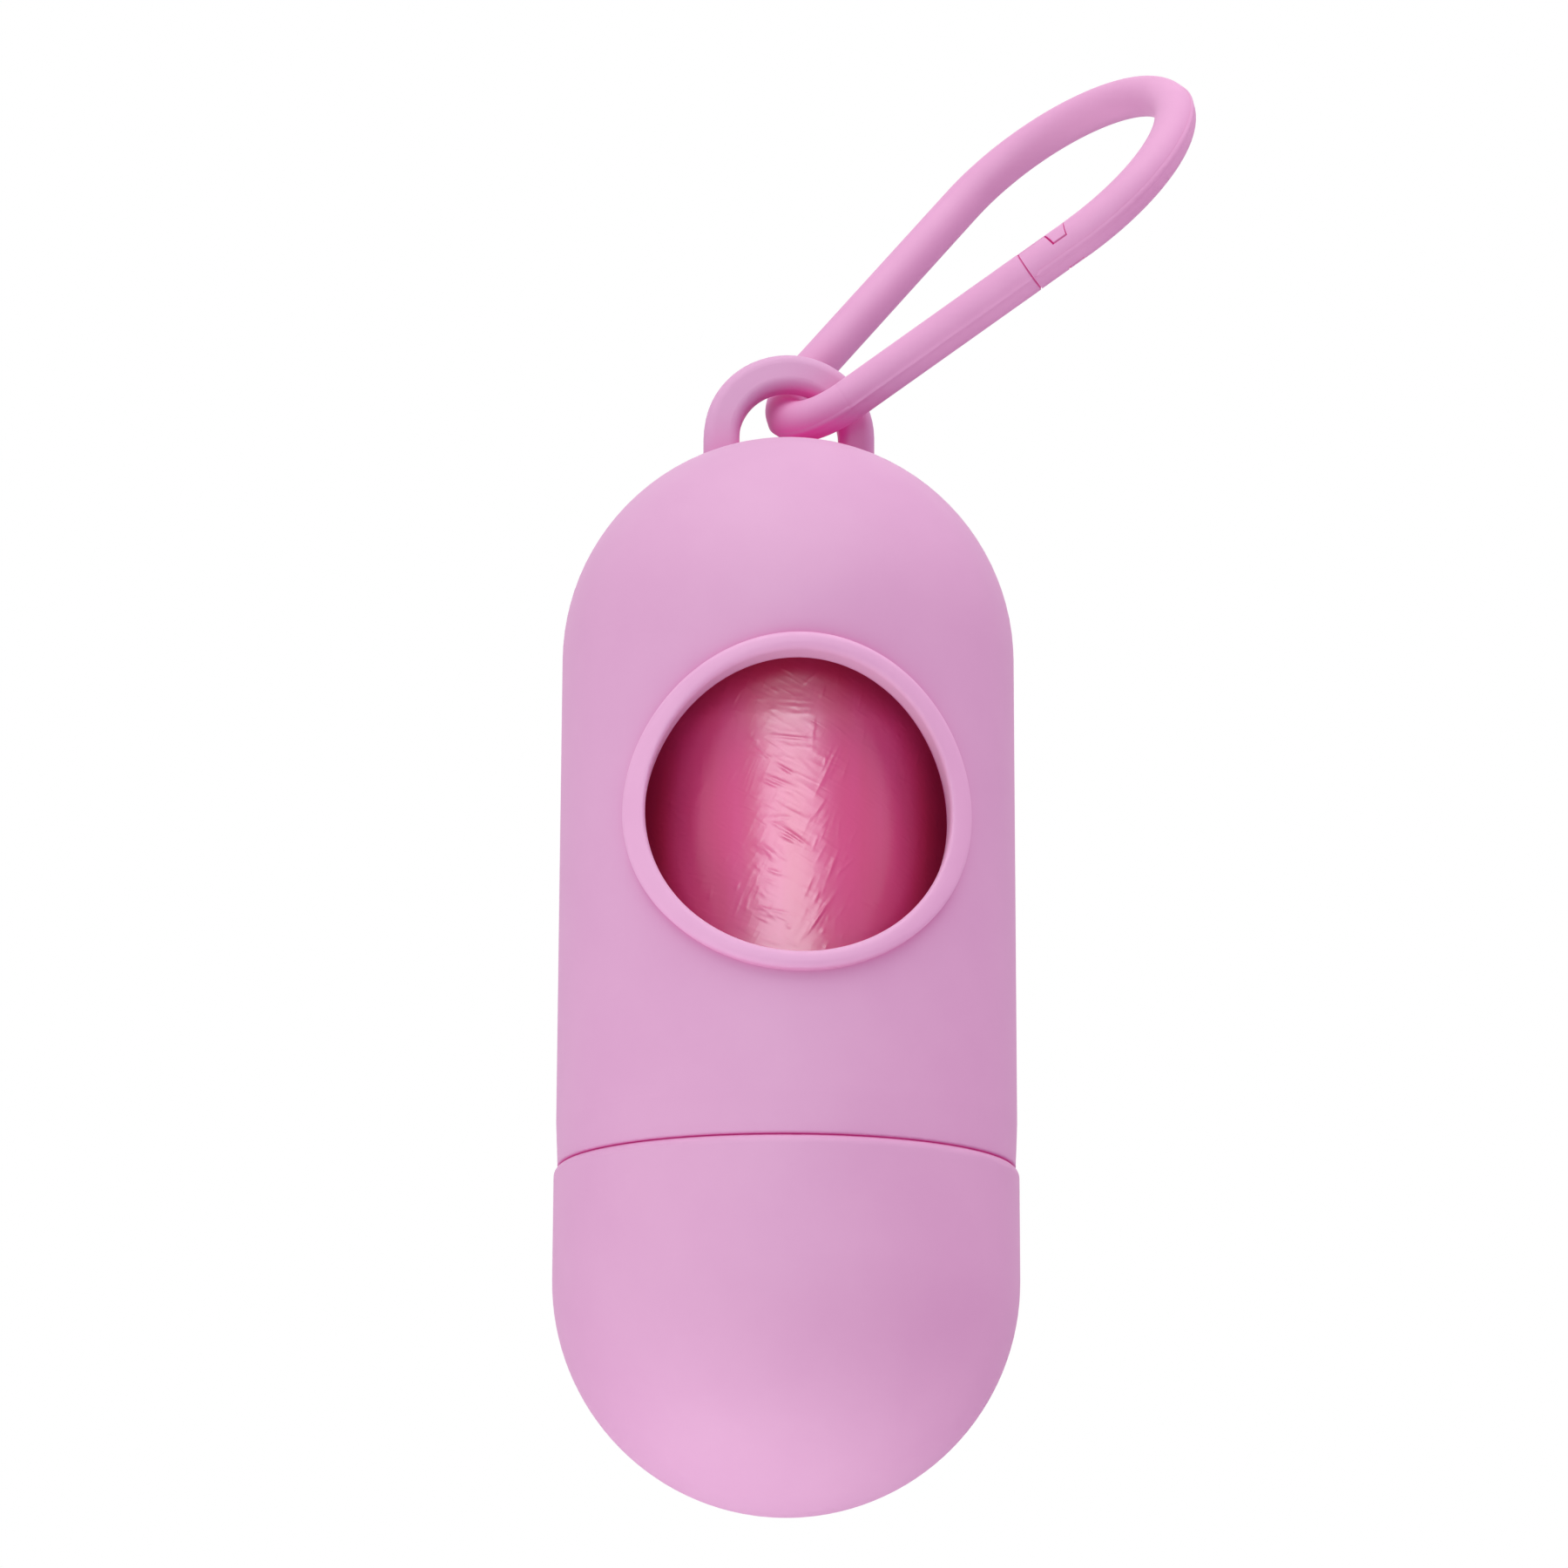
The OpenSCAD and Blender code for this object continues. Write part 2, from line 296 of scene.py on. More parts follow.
def blownPolyethylene(name, values):
    # Blown low-density polyethylene film, wound in many layers: a glossy raspberry pink whose
    # highlight is broken by fine crinkles and by draw lines along the film. Its colour also carries
    # painted light where it faces the window, and painted shade down the sides and at the top.
    material, tree = newMaterial(name)
    place = addNode(tree, "TexCoord").outputs["Object"]
    long = addNode(tree, "Mapping", [("Vector", place)], Scale=(1, 1, values["streakScale"]))
    streaks = addNode(tree, "TexNoise", [("Vector", long.outputs["Vector"])],
                      Scale=perMillimetre(values["streak"]), Detail=3.0)
    # painted light and shade: paler where the roll faces the window, and at the back; painted shade
    # deeper down the sides, which the case shades, and towards the top, under the window's edge
    axes = addNode(tree, "SeparateXYZ", [("Vector", place)]).outputs
    front = (pole[1] - rollRadius) * mm
    paleShare = addNode(tree, "MapRange", [("Value", axes["Y"])], interpolation_type="SMOOTHSTEP",
                    From_Min=front + values["sideShade"] * mm, From_Max=front)
    begin, end = front + np.array(values["back"]) * mm
    back = addNode(tree, "MapRange", [("Value", axes["Y"])], interpolation_type="SMOOTHSTEP",
                   From_Min=begin, From_Max=end, To_Max=values["backShare"])
    paleShare = addNode(tree, "Math", [(0, paleShare.outputs["Result"]), (1, back.outputs["Result"])],
                    operation="MAXIMUM")
    share = addNode(tree, "MapRange", [("Value", streaks.outputs["Fac"])],
                    From_Min=0.3, From_Max=0.7, To_Min=0.75, To_Max=1.0)
    share = addNode(tree, "Math", [(0, paleShare.outputs["Value"]), (1, share.outputs["Result"])],
                    operation="MULTIPLY")
    begin, end = (pole[2] + np.array(values["topShade"])) * mm
    below = addNode(tree, "MapRange", [("Value", axes["Z"])], interpolation_type="SMOOTHSTEP",
                    From_Min=end, From_Max=begin, To_Min=values["endShare"], To_Max=1.0)
    share = addNode(tree, "Math", [(0, below.outputs["Result"]), (1, share.outputs["Value"])],
                    operation="MULTIPLY")
    tint = addNode(tree, "Mix", [("Factor", share.outputs["Value"])], data_type="RGBA")
    tint.inputs["A"].default_value = linear(values["deep"])
    tint.inputs["B"].default_value = linear(values["pale"])
    normal = []
    for lean, depth in values["folds"]:
        # stretched along the fold, and fine across it
        turned = addNode(tree, "Mapping", [("Vector", place)], vector_type="TEXTURE",
                         Rotation=(0, np.radians(lean), 0), Scale=(1, 1, values["foldLength"]))
        crinkle = addNode(tree, "TexNoise", [("Vector", turned.outputs["Vector"])],
                          noise_type="RIDGED_MULTIFRACTAL", Scale=perMillimetre(values["crinkle"]),
                          Detail=2.0, Roughness=0.5, Distortion=0.3)
        bump = addNode(tree, "Bump", [("Height", crinkle.outputs["Fac"])] + normal,
                       Strength=1.0, Distance=depth * mm)
        normal = [("Normal", bump.outputs["Normal"])]
    shader = addNode(tree, "BsdfPrincipled", [("Base Color", tint.outputs["Result"])] + normal,
                     Roughness=0.27, IOR=1.51, Coat_Weight=0.6, Coat_Roughness=0.42)
    addNode(tree, "OutputMaterial", [("Surface", shader.outputs["BSDF"])])
    return material


corePaper = {
    "pale": "#bfa57f",
    "deep": "#a88b63",
    "fibre": 0.6,    # length of the paper's fibres, mm
    "ply": 17.76,    # width of the wound paper strip, mm
    "slant": 0.6,    # of the strip round the tube, radians
    "step": 0.1,    # where one turn of the strip meets the next, mm
}


def woundPaper(name, values):
    # Spirally wound brown paper: dull, with short fibres and a fine step where each turn of the
    # strip meets the next
    material, tree = newMaterial(name)
    place = addNode(tree, "TexCoord").outputs["Object"]
    fibres = addNode(tree, "TexNoise", [("Vector", place)],
                     Scale=perMillimetre(values["fibre"]), Detail=4.0, Roughness=0.7)
    tint = addNode(tree, "Mix", [("Factor", fibres.outputs["Fac"])], data_type="RGBA")
    tint.inputs["A"].default_value = linear(values["deep"])
    tint.inputs["B"].default_value = linear(values["pale"])
    turned = addNode(tree, "Mapping", [("Vector", place)], Rotation=(0.0, values["slant"], 0.0))
    # the wave texture repeats every pi/10 of its scaled coordinate
    plies = addNode(tree, "TexWave", [("Vector", turned.outputs["Vector"])], bands_direction="Z",
                    wave_profile="SAW", Scale=perMillimetre(values["ply"]) * np.pi / 10)
    height = addNode(tree, "Math", [(0, fibres.outputs["Fac"]), (1, plies.outputs["Fac"])],
                     operation="ADD")
    bump = addNode(tree, "Bump", [("Height", height.outputs["Value"])],
                   Strength=0.4, Distance=values["step"] * mm)
    shader = addNode(tree, "BsdfPrincipled",
                     [("Base Color", tint.outputs["Result"]), ("Normal", bump.outputs["Normal"])],
                     Roughness=0.85)
    addNode(tree, "OutputMaterial", [("Surface", shader.outputs["BSDF"])])
    return material


casePink = mouldedPlastic("mouldedPolypropylene", casePlastic)
# the bead's material is painted paler, for the light that the bead catches
beadPink = mouldedPlastic("paintedPalerPolypropylene", beadPlastic)
clipPink = mouldedPlastic("mouldedAcetal", clipPlastic)
filmPink = blownPolyethylene("blownPolyethylene", bagFilm)
tubeBrown = woundPaper("woundPaper", corePaper)


def dress(piece, material):
    # Puts the material in every slot of the piece, and makes one where there is none
    if not piece.data.materials:
        piece.data.materials.append(material)
    for k in range(len(piece.material_slots)):
        piece.material_slots[k].material = material
    return piece


for node, material in (("upper_case", casePink), ("end_cap", casePink), ("clip_frame", clipPink),
                       ("clip_gate", clipPink), ("roll_core", tubeBrown), ("bag_roll", filmPink)):
    dress(frame["nodes"][node], material)
print("materials made")


# The bead round the window, and the case's rounded lower edge

windowBead = {    # mm
    "holeRadius": 12.25,
    "height": 54.8,    # of the window's centre above the cap's pole
    "width": 1.5,
    "proud": 0.9,
    "square": 2.5,    # power of its section, 2 for an ellipse and more for a squarer one
    "fillet": 0.06,    # where the bead runs out into the case
    "wall": 2.2,
    "lip": 0.35,    # rounding of the hole's inner edge
    "over": 0.012,    # how far its skin lies outside the case's own
    "leanFrom": 0.1,    # where the outer flank begins to lean, from the hole's edge, in widths
    "leanOver": 0.6,    # and the stretch in which it comes to lean fully, in widths
    "buried": 0.15,    # how far its unseen side lies beyond the fillet, inside the case's wall
    "sunk": 0.02,    # and how far below the case's skin that side ends
}


def beadSection(v):
    # The section, as distance from the window's axis and height above the case: a quarter-round
    # fillet, then half a superellipse, |x/a|^n + |y/b|^n = 1, down through the wall, round the
    # inner lip, and back inside the wall
    a, b, r = v["width"] / 2, v["proud"] + v["over"], v["fillet"]
    middle = v["holeRadius"] + a - v["over"]
    t = np.linspace(-np.pi / 2, -np.pi, 6)
    fillet = np.stack([middle + a + r + r * np.cos(t), r + r * np.sin(t)], -1)
    t = np.linspace(np.arcsin((r / b) ** (v["square"] / 2)), np.pi, 40)[1:]
    x = np.sign(np.cos(t)) * np.abs(np.cos(t)) ** (2 / v["square"])
    crest = np.stack([middle + a * x, b * np.abs(np.sin(t)) ** (2 / v["square"])], -1)
    inner, depth, lip = middle - a, v["wall"] + v["over"], v["lip"]
    wall = np.stack([np.full(6, inner), np.linspace(-v["buried"], lip - depth, 6)], -1)
    t = np.linspace(np.pi, 1.5 * np.pi, 7)[1:]
    turn = np.stack([inner + lip + lip * np.cos(t), lip - depth + lip * np.sin(t)], -1)
    out = middle + a + r + v["buried"]
    back = np.array([[middle + a, -depth], [out, -depth / 2], [out, -v["sunk"]]])
    return np.concatenate([fillet, crest, wall, turn, back])


def makeWindowBead(v):
    # Each point of the section is carried round the window: out by its distance at the angle,
    # and onto the cylinder about the capsule's axis that its height gives. The outer flank leans
    # out along the case's normal, while the inner one stays square to the window.
    section = beadSection(v)
    angle = np.linspace(0, 2 * np.pi, around, endpoint=False)
    x = section[:, :1] * np.cos(angle)
    z = section[:, :1] * np.sin(angle) + v["height"]
    lean = smoothStep((section[:, :1] - v["holeRadius"] - v["leanFrom"] * v["width"])
                      / (v["leanOver"] * v["width"]))
    x = x * (1 + lean * np.maximum(section[:, 1:], 0) / caseRadius)
    y = -np.sqrt((caseRadius + section[:, 1:]) ** 2 - x ** 2)
    return addSurface("window_bead", fromCapsule(np.stack([x, y, z], -1)), True, True, 60)


caseRim = {    # mm
    "radius": 18.71,    # of the case's outside at its mouth
    "height": rimHeight + 0.15,    # of the case's lower edge, over the gap above the cap's rim
    "edge": 0.2,    # rounding of that edge
    "drop": 0.13,    # how far it reaches towards the cap's own rounded rim
}


def makeCaseRim(v):
    # A half-round edge carried round the case's mouth: r = R - e + e cos t, z = h - d + e + e sin t
    t = np.linspace(0, -np.pi, 16)
    r = v["radius"] - v["edge"] + v["edge"] * np.cos(t)
    z = v["height"] - v["drop"] + v["edge"] + v["edge"] * np.sin(t)
    r = np.append(r, v["radius"] - v["edge"])
    z = np.append(z, v["height"] + v["edge"])
    angle = np.linspace(0, 2 * np.pi, around, endpoint=False)[:, None]
    grid = np.stack([r * np.cos(angle), r * np.sin(angle), np.broadcast_to(z, (around, len(z)))], -1)
    return addSurface("case_rim", fromCapsule(grid), True, True, 60)


for piece, material in ((makeWindowBead(windowBead), beadPink), (makeCaseRim(caseRim), casePink)):
    dress(piece, material)
    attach(piece, "case")
print("window bead and rounded rim made")


# The clip's one-piece springy arm, its latch and its parting line

clip = {    # mm
    "wire": 1.75,    # radius of the round section
    "narrow": 5.8,    # centre-line radius of the bend in the loop
    "wide": 12.8,    # and of the bend at the other end
    "span": 24.0,    # between the two bends' centres
}

gate = {    # mm
    "root": 1.6,    # of the pivot, up the arm from the narrow bend
    "length": 16.74,    # from the pivot to the end face
    "bends": 6.0,    # the stretch beyond the pivot that flexes
    "buried": 2.2,    # how far the arm's skin runs into the frame, before the pivot
    "slim": 0.05,    # how much slimmer than the wire its unseen start is
    "swell": 0.5,    # and the length in which it widens
    "over": 0.012,    # how far its skin then lies outside the frame's
    "edge": 0.1,    # rounding of the end face's rim
    "boss": 0.05,    # how far the end's middle stands out
    "bossInset": 0.04,    # and how far it keeps from the rounded rim
}

flash = {    # the mould's parting line, mm
    "height": 0.09,
    "width": 0.3,
    "edgeSunk": 0.02,    # how deep the edges of the frame's ridge lie in the wire
    "footSunk": 0.06,    # and its middle
    "start": 0.2,    # of the frame's ridge, beyond the gate's end face
    "overlap": 0.8,    # how far its end runs along the arm's skin
}

latch = {    # mm
    "neckTop": -0.25,    # of the neck, measured outward from the middle of the wire
    "headTop": 1.1,
    "headStart": 2.5,    # of the head's foot, from the gate's end face
    "headLength": 2.46,
    "lean": 0.22,    # of the head's sides, run over rise
    "rooted": 0.3,    # how far the neck starts inside the gate's end
    "under": 0.01,    # how far its skin lies inside the wire's
    "endFace": 0.95,    # how far down the head's end face reaches, in wire radii
    "closing": 1.7,    # where the end rings close, inward from the middle of the wire
}


def clipLengths():
    # The arms lean by arcsin((R - r) / span) from the clip's axis. Returns that angle and the lengths
    # of the centre line along the narrow bend, one arm and the wide bend.
    lean = np.arcsin((clip["wide"] - clip["narrow"]) / clip["span"])
    foot, top = 2 * clip["narrow"] * (np.pi / 2 - lean), 2 * clip["wide"] * (np.pi / 2 + lean)
    return lean, foot, clip["span"] * np.cos(lean), top


def clipRing(s):
    # A point of the clip's centre line at length s up the gate's arm from the narrow bend. It lies
    # at the radius R from the bend's centre C in the direction psi, and C, R and psi are each linear
    # along every stretch: narrow bend, arm, wide bend, arm, narrow bend. Returns it in the row's
    # millimetres, with the outward direction.
    lean, foot, arm, top = clipLengths()
    wrap = np.pi / 2 + lean
    knots = np.cumsum([-foot, foot, arm, top, arm, foot])
    psi = np.interp(s, knots, [2 * np.pi - wrap, wrap, wrap, -wrap, -wrap, wrap - 2 * np.pi])[:, None]
    bend = np.interp(s, knots, np.array([0, 0, 1, 1, 0, 0]))[:, None]
    radius = clip["narrow"] + (clip["wide"] - clip["narrow"]) * bend
    outward = np.cos(psi) * clipAxis + np.sin(psi) * clipSide
    start = -(clip["span"] + clip["wide"] - clip["wire"])    # the narrow bend's centre, from the origin
    return (start + clip["span"] * bend) * clipAxis + radius * outward, outward


def flashHeight(angle, v):
    # A narrow ridge on the section's outer and inner side, h exp(-(r sin(angle) / (w/2))^2)
    return v["height"] * np.exp(-(np.sin(angle) * clip["wire"] / (v["width"] / 2)) ** 2)


def makeGateArm(v):
    # A tube: each ring is a circle about the centre line, a hair wider than the frame's own wire.
    # It starts inside the frame, so that arm and frame look like one moulding, and ends in a
    # rounded rim round a low boss.
    ease = np.linspace(0, np.pi / 2, 5)[1:]
    tube = clip["wire"] + v["over"]
    s = np.concatenate([[-v["buried"]],
                        np.linspace(v["swell"] - v["buried"], v["length"] - v["edge"], 90),
                        v["length"] - v["edge"] * (1 - np.sin(ease)),
                        [v["length"], v["length"] + v["boss"]]])
    radius = np.full(len(s), tube)
    radius[0] = clip["wire"] - v["slim"]
    radius[-6:-2] = tube - v["edge"] * (1 - np.cos(ease))
    radius[-2:] = tube - v["edge"] - v["bossInset"]
    # angles round the tube, closest where the parting line runs
    near = np.array([-0.14, -0.1, -0.07, -0.045, -0.02, 0, 0.02, 0.045, 0.07, 0.1, 0.14])
    half = np.linspace(0.18, np.pi - 0.18, 34)
    turn = np.unique(np.concatenate([half, half + np.pi, near % (2 * np.pi), near + np.pi]))
    centre, outward = clipRing(gate["root"] + s)
    # the parting line is full along the arm and dies away over the rounded rim
    along = np.concatenate([[0], np.full(len(s) - 7, 1.0), np.linspace(1, 0, 4), [0, 0]])[:, None]
    size = radius[:, None] + along * flashHeight(turn, flash)[None, :]
    ring = np.cos(turn)[None, :, None] * outward[:, None] + np.sin(turn)[None, :, None] * clipNormal
    grid = centre[:, None] + size[..., None] * ring
    return addSurface("gate_arm", closedEnds(grid, centre[0], centre[-1]) * mm, False, True, 50)


def makeGateLatch(v):
    # Every ring is the wire's circle cut flat at the height that the latch's side view has there:
    # a low neck, then a taller head whose two sides lean in
    end, start, stop = gate["length"], v["headStart"], v["headStart"] + v["headLength"]
    foot, high = v["lean"] * (clip["wire"] + v["neckTop"]), v["lean"] * (clip["wire"] + v["headTop"])
    knots = [-v["rooted"], start + foot, start + high, stop - high, stop]
    heights = [v["neckTop"], v["neckTop"], v["headTop"], v["headTop"], -v["endFace"] * clip["wire"]]
    s = np.unique(np.concatenate([knots, np.linspace(-v["rooted"], stop, 40)]))
    top = np.interp(s, knots, heights)[:, None]
    turn = np.linspace(0, 2 * np.pi, 72, endpoint=False)
    wire = clip["wire"] - v["under"]
    centre, outward = clipRing(gate["root"] + end + s)
    out = np.minimum(wire * np.cos(turn), top)
    circle, flat = wire * np.sin(turn), np.sqrt(wire ** 2 - top ** 2)    # flat is half the cut's width
    side = np.where(out < top, circle, np.clip(circle, -1, 1) * flat)
    grid = centre[:, None] + out[..., None] * outward[:, None] + side[..., None] * clipNormal
    middle = centre - outward * v["closing"]
    return addSurface("gate_latch", closedEnds(grid, middle[0], middle[-1]) * mm, False, True, 35)


def makeFlashLine(v):
    # A low ridge carried along the outer side of the frame's centre line, from the nose all the
    # way round to the arm's root, and sunk into the wire over its last rings at both ends
    wide, high, edge, foot = v["width"], v["height"], v["edgeSunk"], v["footSunk"]
    section = np.array([[-wide, -edge], [-wide / 2, high / 2], [0, high], [wide / 2, high / 2],
                        [wide, -edge], [0, -foot]])
    lean, bend, arm, top = clipLengths()
    rings = 320
    s = np.linspace(gate["root"] + gate["length"] + v["start"],
                    2 * arm + top + bend + gate["root"] - gate["buried"] + v["overlap"], rings)
    centre, outward = clipRing(s)
    ends = np.minimum(1, np.minimum(np.arange(rings), np.arange(rings)[::-1]) / 2)[:, None, None]
    lift = (clip["wire"] + section[:, 1])[None, :, None] - foot * (1 - ends)
    aside = ends * section[:, 0][None, :, None]
    grid = centre[:, None] + lift * outward[:, None] + aside * clipNormal
    return addSurface("parting_line", grid * mm, False, True, 60)


gateArm = dress(makeGateArm(gate), clipPink)
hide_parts("clip_gate")
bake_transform(gateArm)

gateLatch = dress(makeGateLatch(latch), clipPink)
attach(gateLatch, "gate")

flashLine = dress(makeFlashLine(flash), clipPink)
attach(flashLine, "clip")
print("springy arm, latch and parting line made")


# The wound bags

windowHeight = windowBead["height"]

bags = {    # mm
    "wander": 0.05,    # of the winding from a true round, in two slow waves
    "waves": ((0.31, 0.11, 0, 1), (0.17, -0.23, 1, 0.6)),    # radians for each mm across and up, start, share
    "edge": 0.6,    # rounding of the outer edges
    "bore": 6.55,
    "layers": 12,    # rings across each end
    "ripple": 0.04,    # how far they stand back from each other
    "shown": (12.0, 12.6),    # half-width and half-height of the part that the window shows
    "fine": 0.105,    # spacing of its points
    "steep": 0.08,    # widths of a crease's two flanks
    "slack": 0.18,
    "depth": 0.042,    # height of a crease of strength 1
    "beside": 3,    # weaker creases beside each one
    "besideDepth": 0.45,    # their height and length, against its own
    "besideLength": (0.4, 0.8),
    "besideOff": 0.5,    # how far they lie from it, and how much they turn from it in degrees
    "besideTurn": 6,
    "small": 2200,    # how many small creases are strewn over the roll
    "smallDepth": 0.026,
    "smallLength": (0.6, 3.0),
    "smallWidth": (0.6, 1.1),    # against a large one
    "falling": -30,    # slope of the small creases in every other strip, degrees
    "rising": 66,    # and in the strips between
    "smallTurn": 10,    # how much they turn from it
    "strip": 4.8,    # width of a strip
    "stripStart": -4.0,
    "seed": 7,
    "taperFrom": 7.8,    # above the window's middle the roll grows slimmer towards its end
    "taper": 0.11,    # by this much for each mm
    "ease": 0.8,    # and the stretch in which that sets in
}

creases = [    # x and z from the window's middle, length, slope in degrees, strength
    (-0.65, -1.9, 4.4, -33, 1.0), (-1.5, 2.4, 3.4, -24, 0.8), (-1.1, 3.4, 2.6, -33, 0.5),
    (-0.55, 6.0, 5.3, -6, 0.5), (-0.2, 9.1, 3.5, -4, 0.3), (-0.2, 8.6, 3.2, -5, 0.3),
    (0.0, 8.0, 3.0, -2, 0.22), (2.4, 3.6, 5.4, 64, 1.0), (3.9, 3.7, 3.3, 70, 0.5),
    (-2.6, -3.0, 2.7, -38, 0.6), (-2.2, -3.7, 1.6, -37, 0.5), (-1.9, -5.0, 1.6, -17, 0.5),
    (-3.0, -6.5, 1.6, -50, 0.5), (-1.9, -8.2, 4.2, -12, 0.5), (2.8, -4.4, 3.8, 68, 0.6),
    (1.9, -8.3, 5.6, 56, 0.9), (1.1, -8.9, 5.0, 61, 0.5), (1.75, 0.3, 2.6, 56, 0.5),
    (1.25, 6.5, 3.5, 84, 0.22), (-1.5, -0.6, 3.6, 0, 0.3),
]


def addCrease(lift, across, up, x, z, length, slope, height, width=1.0):
    # A crease runs along a straight line: h (1 - (2a/L)^2)^1.5 exp(-(o/w)^2) at the distance a along
    # it and o off it, with w steep on one flank and slack on the other. Only the patch of the roll
    # that it reaches is worked out.
    reach = length / 2 + 1
    rows = np.abs(up[:, 0] - z) < reach
    columns = np.abs(across[0] - x) < reach
    patch = np.ix_(rows, columns)
    dx, dz = across[patch] - x, up[patch] - z
    c, s = np.cos(np.radians(slope)), np.sin(np.radians(slope))
    along, off = dx * c + dz * s, dz * c - dx * s
    fade = np.clip(1 - (2 * along / length) ** 2, 0, 1) ** 1.5
    flank = width * np.where(off < 0, bags["steep"], bags["slack"])
    lift[patch] += height * fade * np.exp(-(off / flank) ** 2)


def windingLift(across, up, v):
    # Height of the film over the round roll: two sine waves, about 19 and 22 mm long, the slimmer
    # end, the listed creases, and small ones strewn in the same two directions
    lift = v["wander"] * sum(share * np.sin(across * a + up * b + c) for a, b, c, share in v["waves"])
    over = np.maximum(up - v["taperFrom"], 0)
    lift -= v["taper"] * (over + v["ease"] * (np.exp(-over / v["ease"]) - 1))
    dice = np.random.default_rng(v["seed"])
    for x, z, length, slope, strength in creases:
        height = v["depth"] * strength
        addCrease(lift, across, up, x, z, length, slope, height)
        for _ in range(v["beside"]):
            addCrease(lift, across, up,
                      x + dice.normal(0, v["besideOff"]), z + dice.normal(0, v["besideOff"]),
                      length * dice.uniform(*v["besideLength"]),
                      slope + dice.normal(0, v["besideTurn"]), height * v["besideDepth"])
    half = np.pi * rollRadius
    for _ in range(v["small"]):
        x, z = dice.uniform(-half, half), dice.uniform(up.min(), up.max())
        evenStrip = np.floor((x - v["stripStart"]) / v["strip"]) % 2 == 0
        slope = (v["falling"] if evenStrip else v["rising"]) + dice.normal(0, v["smallTurn"])
        addCrease(lift, across, up, x, z, dice.uniform(*v["smallLength"]), slope,
                  v["smallDepth"] * dice.uniform(0.2, 1) ** 2, dice.uniform(*v["smallWidth"]))
    return lift


def makeBags(v):
    # Rows go up the outside of the roll, across each end and through the bore, columns round it;
    # both are closest where the window shows them
    low, high = rollLow[2] - pole[2], rollHigh[2] - pole[2]
    halfWidth, halfHeight = v["shown"]
    near = np.arange(-halfWidth, halfWidth, v["fine"]) / rollRadius
    far = np.linspace(near[-1], 2 * np.pi + near[0], 64)[1:-1]
    turn = np.concatenate([near, far])    # 0 faces the window
    up = np.concatenate([
        np.linspace(low + v["edge"], windowHeight - halfHeight, 22)[:-1],
        np.arange(windowHeight - halfHeight, windowHeight + halfHeight, v["fine"]),
        np.linspace(windowHeight + halfHeight, high - v["edge"], 8)[1:]])
    across = (turn + np.pi) % (2 * np.pi) - np.pi
    lift = windingLift(*np.broadcast_arrays(across[None] * rollRadius, up[:, None] - windowHeight), v)
    t = np.linspace(0, np.pi / 2, 6)
    corner = np.stack([v["edge"] * (np.cos(t) - 1), v["edge"] * np.sin(t)], -1)[1:]
    layers = np.linspace(rollRadius - v["edge"], v["bore"], v["layers"] + 1)[1:]
    ripple = v["ripple"] * np.sin(np.arange(v["layers"]) * 2.4)
    ends = []
    for rim, way, row in ((high - v["edge"], 1, lift[-1]), (low + v["edge"], -1, lift[0])):
        radius = np.concatenate([rollRadius + corner[:, 0], layers])
        z = rim + way * np.concatenate([corner[:, 1], v["edge"] - np.abs(ripple)])
        fade = np.concatenate([1 - t[1:] / np.pi * 2, np.zeros(v["layers"])])
        ends.append((radius[:, None] + fade[:, None] * row[None], z))
    radius = np.concatenate([rollRadius + lift, ends[0][0], ends[1][0][::-1]])
    z = np.concatenate([up, ends[0][1], ends[1][1][::-1]])[:, None]
    grid = np.stack([radius * np.sin(turn), -radius * np.cos(turn),
                     np.broadcast_to(z, radius.shape)], -1)
    return addSurface("wound_bags", fromCapsule(grid), True, True, 40)


roll = dress(makeBags(bags), filmPink)
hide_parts("bag_roll")
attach(roll, "roll")
print("wound bags made")


# The screw thread on the neck and in the cap

thread = {    # mm
    "starts": 3,
    "lead": 12.0,    # travel in one turn
    "low": 21.5,    # of the ridges' middle, above the cap's pole
    "high": 26.2,
    "halfWidth": 0.55,
    "endWidth": 0.3,    # how wide a ridge's ends are, against its middle
    "height": 0.35,
    "blunt": 0.8,    # power of its section, 1 for a parabola and less for a blunter one
    "fade": 0.25,    # in which it dies away at each end, radians round the wall
    "neckRadius": 17.15,
    "capRadius": 17.65,
    "weld": 0.05,    # how far a ridge's foot lies inside the wall
}


def threadRidge(name, v, start, wall, way):
    # A helix that rises by the lead in each turn. Its section is h (1 - x^2)^p over its width. It
    # stands off the wall, outward on the neck and inward in the cap, and dies away at each end.
    turn = np.linspace(0, 2 * np.pi * (v["high"] - v["low"]) / v["lead"], 90)
    x = np.linspace(-1, 1, 9)
    ridge = np.concatenate([v["height"] * (1 - x ** 2) ** v["blunt"] - v["weld"], [-2 * v["weld"]]])
    off = np.concatenate([x, [0]]) * v["halfWidth"]
    fade = smoothStep(np.minimum(turn, turn[-1] - turn) / v["fade"])[:, None]
    radius = wall + way * (ridge[None] * fade - (1 - fade) * 2 * v["weld"])
    angle = (turn + start)[:, None]
    width = v["endWidth"] + (1 - v["endWidth"]) * fade
    z = v["low"] + v["lead"] * turn[:, None] / (2 * np.pi) + off[None] * width
    grid = np.stack([radius * np.cos(angle), radius * np.sin(angle), z], -1)
    grid = closedEnds(grid, grid[0].mean(0), grid[-1].mean(0))
    return addSurface(name, fromCapsule(grid), False, True, 60)


for k in range(thread["starts"]):
    start = 2 * np.pi * k / thread["starts"]
    between = start + np.pi / thread["starts"]    # the cap's ridges lie between the neck's
    for name, body, wall, way, begin in (
            ("neck_thread", "case", thread["neckRadius"], 1, start),
            ("cap_thread", "cap", thread["capRadius"], -1, between)):
        ridge = dress(threadRidge(f"{name}_{k + 1}", thread, begin, wall, way), casePink)
        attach(ridge, body)
print("screw thread made")


# Stage and light

